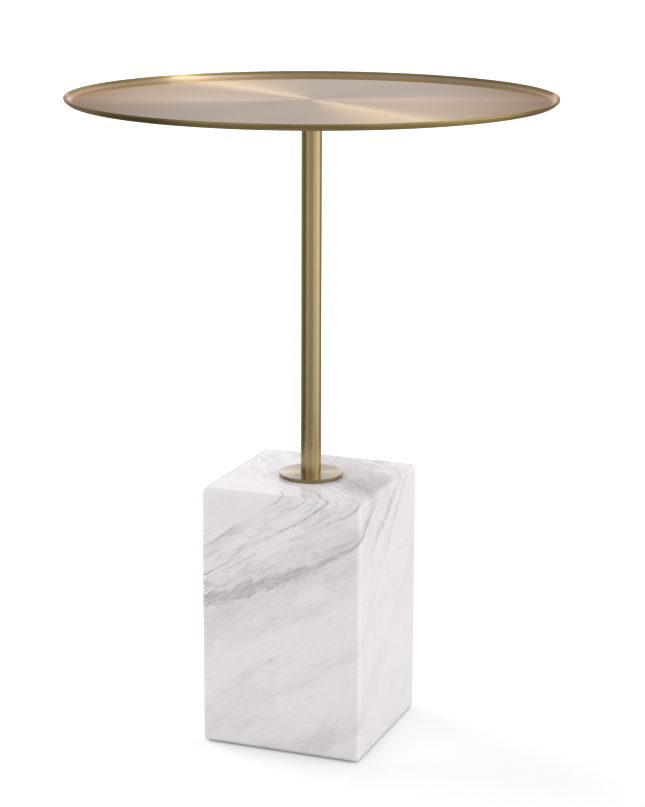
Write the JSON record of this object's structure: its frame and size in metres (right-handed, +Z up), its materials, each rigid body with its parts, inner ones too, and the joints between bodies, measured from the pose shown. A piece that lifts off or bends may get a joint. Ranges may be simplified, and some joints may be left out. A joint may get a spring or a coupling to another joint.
{
  "type": "wine table",
  "caption": "Small round drinks table: lipped brushed-brass tray on a slim brass column, clamped by a hidden tie rod to a square white marble block on thin pads.",
  "frame": {"origin": "on the floor under the middle of the marble block and of the tray, at the pads' underside", "axes": "+Z up along the column; the block's faces look along X and Y; -Y is the front face, the wider one in the picture, and +X the face to its right"},
  "size_m": [0.4499, 0.45, 0.61],
  "materials": {
    "brushed_brass": "brushed, clear lacquered",
    "satin_brass": "plated, satin",
    "white_marble": "polished, grey veins",
    "zinc_steel": "zinc plated",
    "black_rubber": "matte",
    "nylon": "natural nylon",
    "grey_felt": "pressed felt"
  },
  "bodies": {
    "root": {"tray": "brushed_brass", "tray_plate": "satin_brass", "tray_boss": "satin_brass", "head_stud": "zinc_steel", "head_gasket": "black_rubber", "head_plug": "zinc_steel", "column_tube": "brushed_brass", "foot_plug": "zinc_steel", "foot_flange": "brushed_brass", "flange_gasket": "black_rubber", "marble_block": "white_marble", "centring_bush": "nylon", "tie_rod": "zinc_steel", "load_washer": "zinc_steel", "spring_washer": "zinc_steel", "tie_nut": "zinc_steel", "recess_cover": "grey_felt", "foot_pad_front_left": "grey_felt", "foot_pad_front_right": "grey_felt", "foot_pad_back_left": "grey_felt", "foot_pad_back_right": "grey_felt"}
  },
  "joints": []
}
